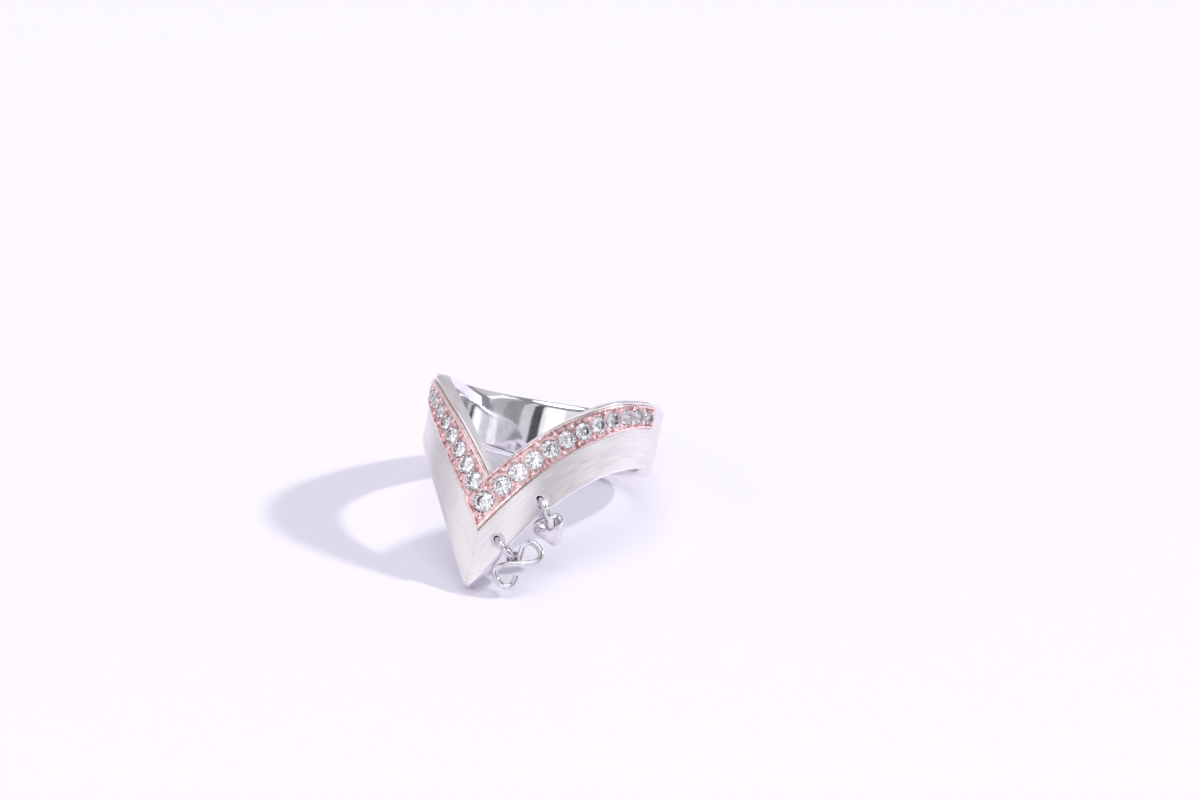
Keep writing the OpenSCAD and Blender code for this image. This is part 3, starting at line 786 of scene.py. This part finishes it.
def makeInfinity():
    middle, out, along, off, radius = jumpFrame("infinity")
    hang = math.radians(infinity["hang"])
    radial = out * math.cos(hang) + off * math.sin(hang)
    hold = middle + radial * radius
    centre = hold + radial * (bailRadius + infinity["wire"] * infinity["stand"])
    angles = np.radians(np.linspace(270, 630 - infinity["open"], infinity["points"]))
    path = [centre + along * (infinity["length"] / 2 * math.cos(t))
            + off * (infinity["width"] / 2 * math.sin(2 * t))
            + out * (infinity["wire"] * infinity["lift"] * math.sin(t)) for t in angles]
    steps = [(path[k + 1] - path[k]).length for k in range(len(path) - 1)]
    travel = np.concatenate([[0], np.cumsum(steps)])
    fromEnd = np.minimum(travel, travel[-1] - travel) / (infinity["wire"] / 2)
    shares = np.sqrt(np.clip(1 - (1 - np.clip(fromEnd, 0, 1)) ** 2, infinity["blunt"], 1))
    wire = makeWire("infinityWire", laid([list(p) for p in path]), infinity["wire"] / 2, False,
                    shares.tolist())
    loop = circle(hold, radial, along, bailRadius, wires["bailPoints"])
    bail = makeWire("infinityBail", laid([list(p) for p in loop]), wires["bailWire"] / 2, True)
    return joined("infinityDressed", [wire, bail])


# Heart: puffed, drilled from front to back below its cleft for the jump ring.
heart = {"width": 2.75, "height": 2.9, "thickness": 1.6, "turn": 31.0, "lean": 18.0,
         "lobeShare": 0.29, "tipRadius": 0.4, "bridge": 0.12, "middle": -0.5,
         "points": 160, "levels": 45, "steps": 80, "smooth": 40}


def heartReach(angles):
    lobe = heart["width"] * heart["lobeShare"]
    lobeX = heart["width"] / 2 - lobe
    tipY = lobe - heart["height"] + heart["tipRadius"]
    share = np.linspace(0, 1, heart["steps"])
    radius = lobe + (heart["tipRadius"] - lobe) * share
    reach = np.zeros(len(angles))
    for side in (-1, 1):
        x, y = side * lobeX * (1 - share), tipY * share - heart["middle"]
        for k, a in enumerate(angles):
            along = x * math.cos(a) + y * math.sin(a)
            inside = radius ** 2 - (x ** 2 + y ** 2 - along ** 2)
            hits = np.where(inside > 0, along + np.sqrt(np.maximum(inside, 0)), 0)
            reach[k] = max(reach[k], hits.max())
    return reach


def makeHeart():
    middle, out, along, off, radius = jumpFrame("heart")
    fall = [-turned(list(v))[2] for v in (out, off)]
    low = math.atan2(fall[1], fall[0])
    hold = laid(list(middle + (out * math.cos(low) + off * math.sin(low)) * radius))
    lobe = heart["width"] * heart["lobeShare"]
    cleft = math.sqrt(lobe ** 2 - (heart["width"] / 2 - lobe) ** 2)
    drop = cleft - heart["bridge"] - wires["jumpWire"] / 2 - wires["bailPlay"]
    angles = np.linspace(0, 2 * math.pi, heart["points"], endpoint=False) + math.pi / 2
    reach = heartReach(angles)
    levels = np.radians(np.linspace(-90, 90, heart["levels"]))[1:-1]
    rings = [[(reach[k] * math.cos(b) * math.cos(a),
               heart["middle"] + reach[k] * math.cos(b) * math.sin(a),
               heart["thickness"] / 2 * math.sin(b)) for k, a in enumerate(angles)] for b in levels]
    points = [p for ring in rings for p in ring]
    points += [(0, heart["middle"], side * heart["thickness"] / 2) for side in (-1, 1)]
    count, last = len(angles), len(rings) * len(angles)
    faces = [(i * count + k, i * count + (k + 1) % count,
              (i + 1) * count + (k + 1) % count, (i + 1) * count + k)
             for i in range(len(rings) - 1) for k in range(count)]
    faces += [(last, (k + 1) % count, k) for k in range(count)]
    faces += [(last + 1, last - count + k, last - count + (k + 1) % count) for k in range(count)]
    place = (Matrix.Translation(Vector(hold)) @ Matrix.Rotation(math.radians(heart["turn"]), 4, "Z")
             @ Matrix.Rotation(math.pi / 2, 4, "X")
             @ Matrix.Rotation(math.radians(heart["lean"]), 4, "Z") @ Matrix.Scale(mm, 4))
    body = meshObject("heartDressed", [place @ Vector((p[0], p[1] - drop, p[2])) for p in points],
                      faces, [tumbled])
    fixNormals(body)
    path = laid([list(p) for p in circle(middle, out, off, radius, wires["points"])])
    drill = makeWire("heartDrill", path, wires["jumpWire"] / 2 + wires["bailPlay"], True)
    fixNormals(drill)
    cut = body.modifiers.new("drilled", "BOOLEAN")
    cut.operation, cut.solver, cut.object = "DIFFERENCE", "EXACT", drill
    applied(body)
    bpy.data.objects.remove(drill)
    return smoothed(body, heart["smooth"])


for made, node in ((makeJumpRing("infinity", "jumpRingInfinityDressed"), "jump_ring_infinity"),
                   (makeJumpRing("heart", "jumpRingHeartDressed"), "jump_ring_heart"),
                   (makeInfinity(), "infinity_charm"), (makeHeart(), "heart_charm")):
    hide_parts(node)
    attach(made, "root")
    print(made.name, "made:", len(made.data.polygons), "faces")

# Stones keep their own facets and only take their finish here.
for name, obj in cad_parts.items():
    if name.startswith("stone_"):
        obj.data.materials.clear()
        obj.data.materials.append(clear)
print("stones finished")

# Table, light and camera. The room is a ring of soft panels round the table: bright on the
# side of the sun and left of the camera, dark where the camera stands, dim and lilac behind.
stage = {
    "table": "#F3F0FA", "tableSize": 4.0, "tableRoughness": 0.55,
    "grainScale": 900.0, "grainBump": 0.04, "grainDepth": 0.05,
    "strength": 1.0, "sun": 1.46, "sunAngle": 4.5, "sunDirection": (0.934, 0.356, 0.80),
    # Each panel starts at a turn from the front, in degrees towards +X, at its own brightness
    "panels": ((-180, 0.64), (-120, 0.74), (-60, 1.18), (-36, 0.86), (-2, 1.25), (9, 1.45),
               (26, 1.0), (33.5, 0.1), (46.5, 0.7), (60, 0.36), (80, 0.5), (97, 1.5),
               (107, 0.65), (135, 0.65), (165, 0.64)),
    "panelTint": (0.985, 0.966, 1.03), "panelBlend": 2,
    # Overhead: a dim ring, and a bright panel in its middle that the stones break up
    "ceilingRing": (0.3, 0.295, 0.32, 1), "ceilingPanel": (2.08, 2.06, 2.18, 1),
    "ceilingFade": 0.78, "ceilingStarts": 0.8, "ringEnds": 0.915, "panelStarts": 0.925,
    "skirt": (0.3, 0.285, 0.33, 1), "skirtEdge": (0.1, 0.2),
}


def makeTable():
    material, tree = newMaterial("tableMattLacquer")
    place = addNode(tree, "ShaderNodeTexCoord")
    grain = addNode(tree, "ShaderNodeTexNoise", {"Scale": stage["grainScale"], "Detail": 3.0},
                    {"Vector": place.outputs["Object"]})
    bump = addNode(tree, "ShaderNodeBump",
                   {"Strength": stage["grainBump"], "Distance": stage["grainDepth"] * mm},
                   {"Height": grain.outputs[0]})
    shader = addNode(tree, "ShaderNodeBsdfPrincipled",
                     {"Base Color": linear(stage["table"]), "Roughness": stage["tableRoughness"]},
                     {"Normal": bump.outputs[0]})
    finishMaterial(tree, shader)
    side = stage["tableSize"] / 2
    corners = [(-side, -side, 0), (side, -side, 0), (side, side, 0), (-side, side, 0)]
    obj = meshObject("table", corners, [(0, 1, 2, 3)], [material])


def makeLight():
    world = bpy.data.worlds.new("softRoom")
    bpy.context.scene.world = world
    world.use_nodes = True
    tree = world.node_tree
    tree.nodes.clear()
    place = addNode(tree, "ShaderNodeTexCoord")
    parts = addNode(tree, "ShaderNodeSeparateXYZ", links={"Vector": place.outputs["Generated"]})
    front = addNode(tree, "ShaderNodeMath", {"operation": "MULTIPLY", 1: -1.0},
                    {0: parts.outputs["Y"]})
    turn = addNode(tree, "ShaderNodeMath", {"operation": "ARCTAN2"},
                   {0: parts.outputs["X"], 1: front.outputs[0]})
    share = addNode(tree, "ShaderNodeMapRange", {"From Min": -math.pi, "From Max": math.pi},
                    {"Value": turn.outputs[0]})
    wall = addNode(tree, "ShaderNodeValToRGB", {}, {"Fac": share.outputs[0]})
    ramp = wall.color_ramp
    panels, stops = stage["panels"], []
    for k, (start, bright) in enumerate(panels):
        stop = panels[k + 1][0] if k + 1 < len(panels) else 180
        stops += [((start + 180) / 360, bright),
                  ((stop - stage["panelBlend"] + 180) / 360, bright)]
    for k, (position, bright) in enumerate(stops):
        element = ramp.elements[k] if k < 2 else ramp.elements.new(position)
        element.position = position
        element.color = [bright * tint for tint in stage["panelTint"]] + [1]
    above = addNode(tree, "ShaderNodeValToRGB", {}, {"Fac": parts.outputs["Z"]})
    dimStart, brightStart = above.color_ramp.elements
    dimStart.position, dimStart.color = stage["ceilingStarts"], stage["ceilingRing"]
    brightStart.position, brightStart.color = stage["panelStarts"], stage["ceilingPanel"]
    above.color_ramp.elements.new(stage["ringEnds"]).color = stage["ceilingRing"]
    ceiling = addNode(tree, "ShaderNodeMapRange",
                      {"From Min": stage["ceilingFade"], "From Max": stage["ceilingStarts"]},
                      {"Value": parts.outputs["Z"]})
    upper = addNode(tree, "ShaderNodeMix", {"data_type": "RGBA"}, {0: ceiling.outputs[0]})
    tree.links.new(wall.outputs[0], upper.inputs[6])
    tree.links.new(above.outputs[0], upper.inputs[7])
    horizon = addNode(tree, "ShaderNodeMapRange",
                      {"From Min": stage["skirtEdge"][0], "From Max": stage["skirtEdge"][1],
                       "interpolation_type": "SMOOTHSTEP"}, {"Value": parts.outputs["Z"]})
    lower = addNode(tree, "ShaderNodeMix", {"data_type": "RGBA"}, {0: horizon.outputs[0]})
    lower.inputs[6].default_value = stage["skirt"]
    tree.links.new(upper.outputs[2], lower.inputs[7])
    ground = addNode(tree, "ShaderNodeBackground", {"Strength": stage["strength"]},
                     {"Color": lower.outputs[2]})
    addNode(tree, "ShaderNodeOutputWorld", links={"Surface": ground.outputs[0]})
    sun = bpy.data.lights.new("key", "SUN")
    sun.energy, sun.angle = stage["sun"], math.radians(stage["sunAngle"])
    key = bpy.data.objects.new("key", sun)
    key.rotation_mode = "QUATERNION"
    key.rotation_quaternion = Vector(stage["sunDirection"]).to_track_quat("Z", "Y")
    bpy.context.scene.collection.objects.link(key)


# Camera: where the photograph was taken from, in mm, with a 76 mm lens
camera = {"place": (75.805, -179.696, 103.099), "right": (0.93447, 0.35597, -0.00779),
          "up": (-0.1449, 0.40018, 0.90491), "back": (0.32523, -0.84448, 0.42553), "lens": 76.23,
          "sensor": 36.0, "clip": (0.01, 20)}


def makeCamera():
    data = bpy.data.cameras.new("view")
    data.lens, data.sensor_width = camera["lens"], camera["sensor"]
    data.clip_start, data.clip_end = camera["clip"]
    obj = bpy.data.objects.new("view", data)
    turn = Matrix((camera["right"], camera["up"], camera["back"])).transposed().to_4x4()
    obj.matrix_world = Matrix.Translation(Vector(camera["place"]) * mm) @ turn
    bpy.context.scene.collection.objects.link(obj)
    bpy.context.scene.camera = obj


makeTable()
makeLight()
makeCamera()
bpy.context.scene.view_settings.view_transform = "Standard"
print("table, light and camera made")
